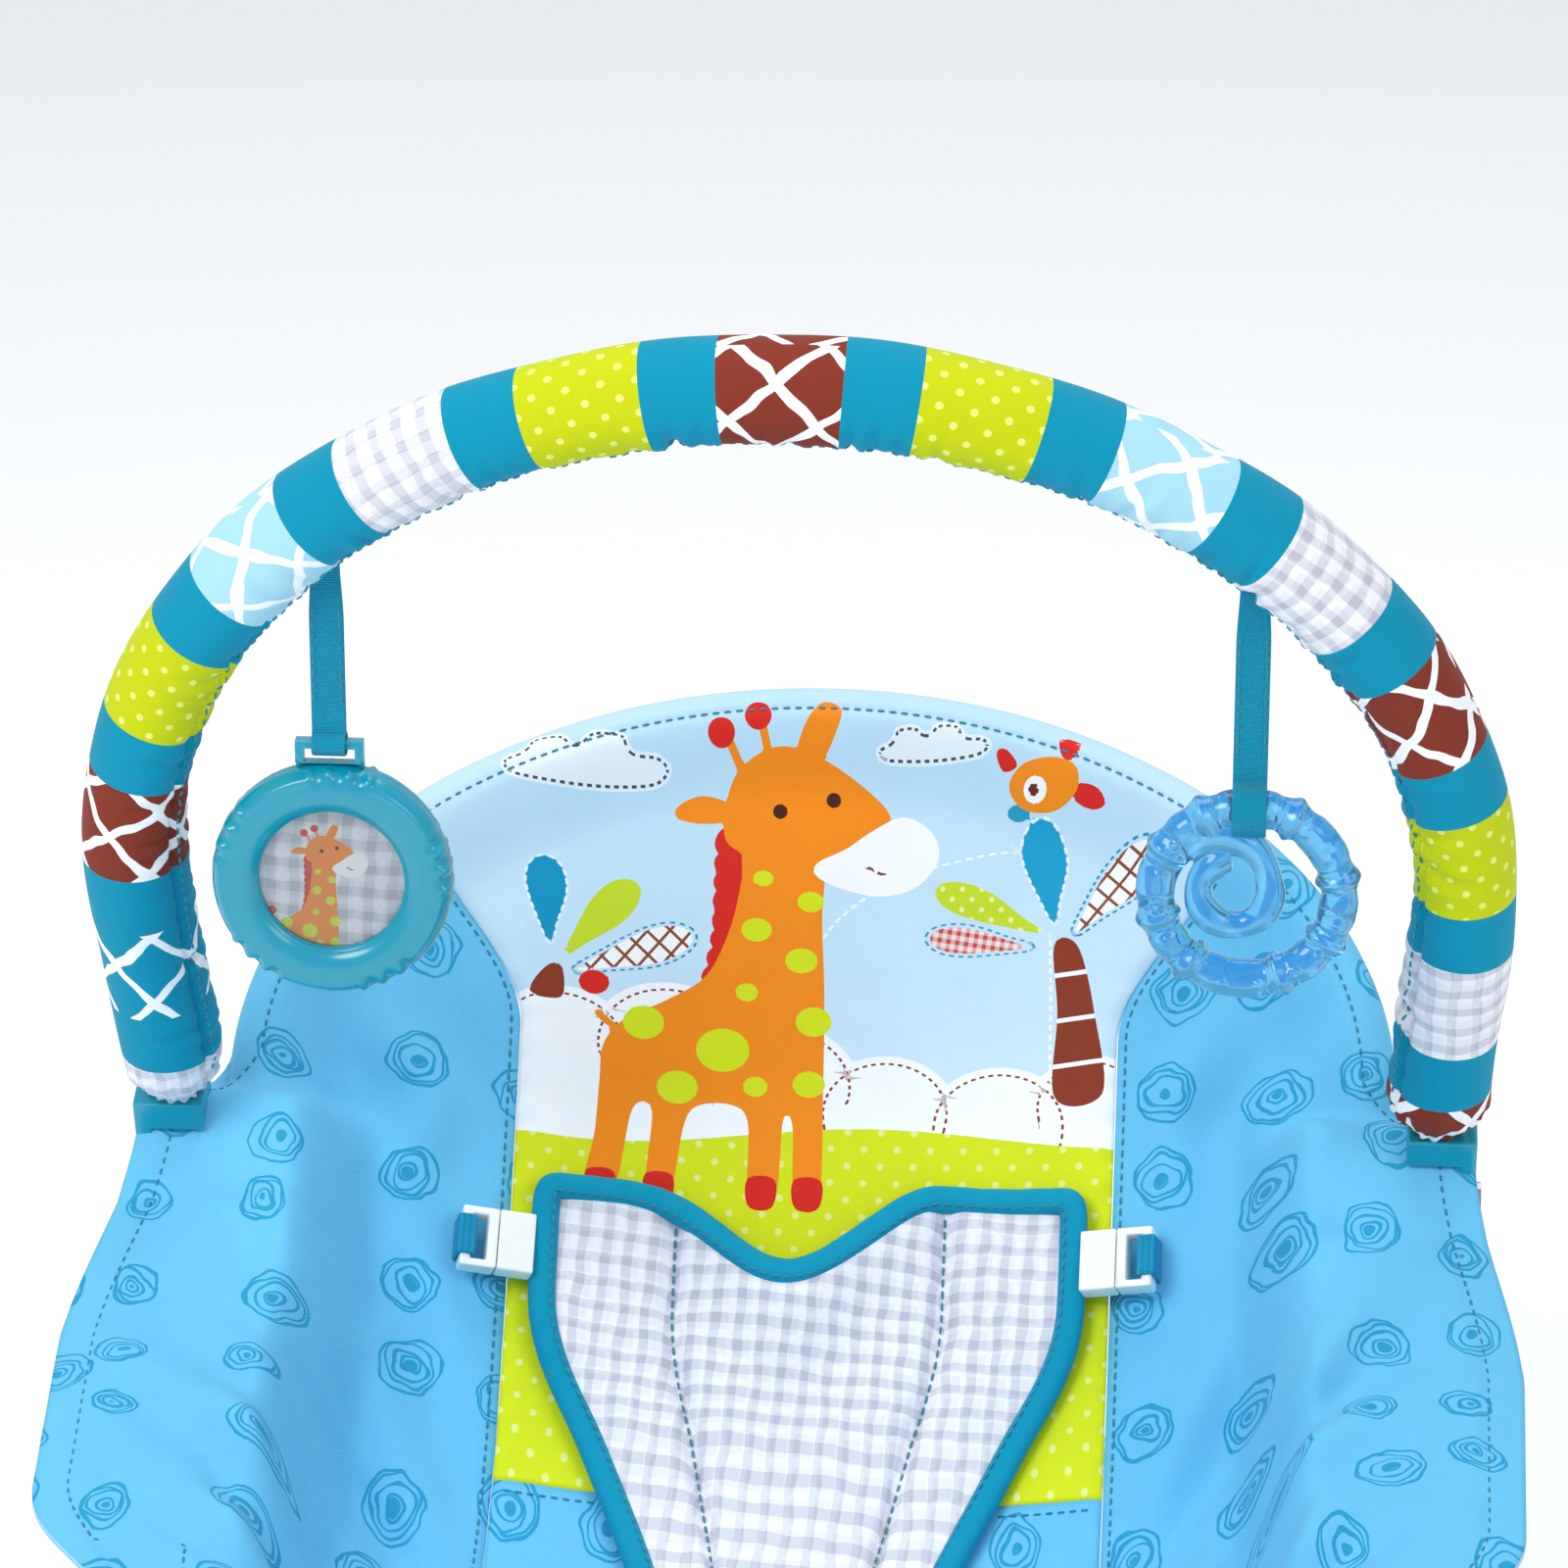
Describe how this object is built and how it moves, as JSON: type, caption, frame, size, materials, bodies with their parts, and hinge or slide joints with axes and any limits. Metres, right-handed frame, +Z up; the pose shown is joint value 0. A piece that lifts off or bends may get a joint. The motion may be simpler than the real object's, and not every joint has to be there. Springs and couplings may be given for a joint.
{
  "type": "baby bouncer seat",
  "caption": "Baby bouncer seat: printed fabric sling on a bent steel frame, padded toy bar with hanging toys, waist restraint and vibration unit.",
  "frame": {"origin": "on the floor, at the middle of the object's box", "axes": "+X right as seen from the foot end (symmetry plane is X = 0, toys apart), -Y foot end, +Y head end, +Z up"},
  "size_m": [0.5084, 0.565, 0.5973],
  "materials": {
    "painted_steel": "white powder coat, semi-gloss",
    "bare_steel": "zinc plated",
    "foot_rubber": "matt, fine grain",
    "teal_plastic": "glossy injection moulded",
    "white_plastic": "semi-gloss injection moulded",
    "clear_plastic": "clear",
    "teether_plastic": "translucent blue, liquid filled look",
    "printed_card": null,
    "print_fabric": null,
    "wing_fabric": "printed woven polyester, loose scribbled circles",
    "plaid_fabric": "printed woven polyester, grey and white check, teal binding",
    "bar_fabric": "satin weave patchwork print in teal, lime, brown, grey and light blue",
    "webbing": "ribbed woven webbing",
    "foam": "polyurethane foam",
    "circuit_board": "solder mask",
    "battery_wrap": "shrink wrap"
  },
  "bodies": {
    "base": {"floor_frame": "painted_steel", "foot_front_left": "foot_rubber", "foot_front_right": "foot_rubber", "foot_rear_left": "foot_rubber", "foot_rear_right": "foot_rubber", "frame_coupler_left": "teal_plastic", "frame_coupler_right": "teal_plastic"},
    "seat": {"riser_left": "painted_steel", "riser_right": "painted_steel", "upper_hoop": "painted_steel", "lower_hoop": "painted_steel", "hem_head": "wing_fabric", "hem_foot": "wing_fabric", "back_panel": "print_fabric", "seat_panel": "wing_fabric", "wing_left": "wing_fabric", "wing_right": "wing_fabric", "crotch_panel": "plaid_fabric", "vibration_front_case": "white_plastic", "vibration_back_case": "white_plastic", "vibration_battery": "battery_wrap", "vibration_battery_spring": "bare_steel", "vibration_motor": "bare_steel", "vibration_circuit_board": "circuit_board", "vibration_screw_left": "bare_steel", "vibration_screw_right": "bare_steel", "female_buckle_left": "white_plastic", "hub_inner_left": "teal_plastic", "hub_outer_left": "teal_plastic", "pivot_pin_left": "bare_steel", "hub_screw_1_left": "bare_steel", "hub_screw_2_left": "bare_steel", "female_buckle_right": "white_plastic", "hub_inner_right": "teal_plastic", "hub_outer_right": "teal_plastic", "pivot_pin_right": "bare_steel", "hub_screw_1_right": "bare_steel", "hub_screw_2_right": "bare_steel"},
    "toy_bar": {"toy_bar_clip_left": "teal_plastic", "toy_bar_clip_right": "teal_plastic", "toy_bar_core": "white_plastic", "toy_bar_padding": "foam", "toy_bar_cover": "bar_fabric"},
    "left_toy_strap": {"toy_strap_left": "webbing"},
    "mirror_toy": {"mirror_front_shell": "teal_plastic", "mirror_back_shell": "teal_plastic", "mirror_lens": "clear_plastic", "mirror_print": "printed_card"},
    "right_toy_strap": {"toy_strap_right": "webbing"},
    "teether_toy": {"teether": "teether_plastic"},
    "left_belt_clip": {"male_buckle_left": "white_plastic", "waist_belt_left": "webbing"},
    "right_belt_clip": {"male_buckle_right": "white_plastic", "waist_belt_right": "webbing"},
    "battery_door": {"vibration_battery_door": "white_plastic"},
    "motor_weight": {"vibration_weight": "bare_steel"},
    "mode_switch": {"vibration_switch": "teal_plastic"}
  },
  "joints": [
    {"name": "bounce", "type": "hinge", "parent": "base", "child": "seat", "pos_m": [0, -0.27, 0.0605], "axis": [1, 0, 0], "range_deg": [-4, 3], "stiffness_Nm_per_rad": 400, "springref_deg": 0.83},
    {"name": "toy_bar_tilt", "type": "hinge", "parent": "seat", "child": "toy_bar", "pos_m": [0, 0.05, 0.236], "axis": [1, 0, 0], "range_deg": [-28, 42]},
    {"name": "mirror_toy_swing", "type": "hinge", "parent": "toy_bar", "child": "left_toy_strap", "pos_m": [-0.16015, -0.03609, 0.49495], "axis": [1, 0, 0], "range_deg": [-60, 20]},
    {"name": "mirror_toy_tilt", "type": "hinge", "parent": "left_toy_strap", "child": "mirror_toy", "pos_m": [-0.16015, -0.03609, 0.43695], "axis": [1, 0, 0], "range_deg": [-25, 8]},
    {"name": "teether_swing", "type": "hinge", "parent": "toy_bar", "child": "right_toy_strap", "pos_m": [0.16015, -0.03609, 0.49495], "axis": [1, 0, 0], "range_deg": [-60, 20]},
    {"name": "teether_tilt", "type": "hinge", "parent": "right_toy_strap", "child": "teether_toy", "pos_m": [0.16015, -0.03609, 0.42195], "axis": [1, 0, 0], "range_deg": [-25, 8]},
    {"name": "left_buckle_release", "type": "slide", "parent": "seat", "child": "left_belt_clip", "axis": [-0.9596, -0.1882, 0.2091], "range_m": [0, 0.02]},
    {"name": "right_buckle_release", "type": "slide", "parent": "seat", "child": "right_belt_clip", "axis": [0.9596, -0.1882, 0.2091], "range_m": [0, 0.02]},
    {"name": "battery_door_swing", "type": "hinge", "parent": "seat", "child": "battery_door", "pos_m": [0, -0.22583, 0.11488], "axis": [1, 0, 0], "range_deg": [0, 80]},
    {"name": "motor_spin", "type": "hinge", "parent": "seat", "child": "motor_weight", "pos_m": [0, -0.25583, 0.11358], "axis": [1, 0, 0], "continuous": true},
    {"name": "mode_switch_slide", "type": "slide", "parent": "seat", "child": "mode_switch", "axis": [1, 0, 0], "range_m": [-0.003, 0.003]}
  ]
}
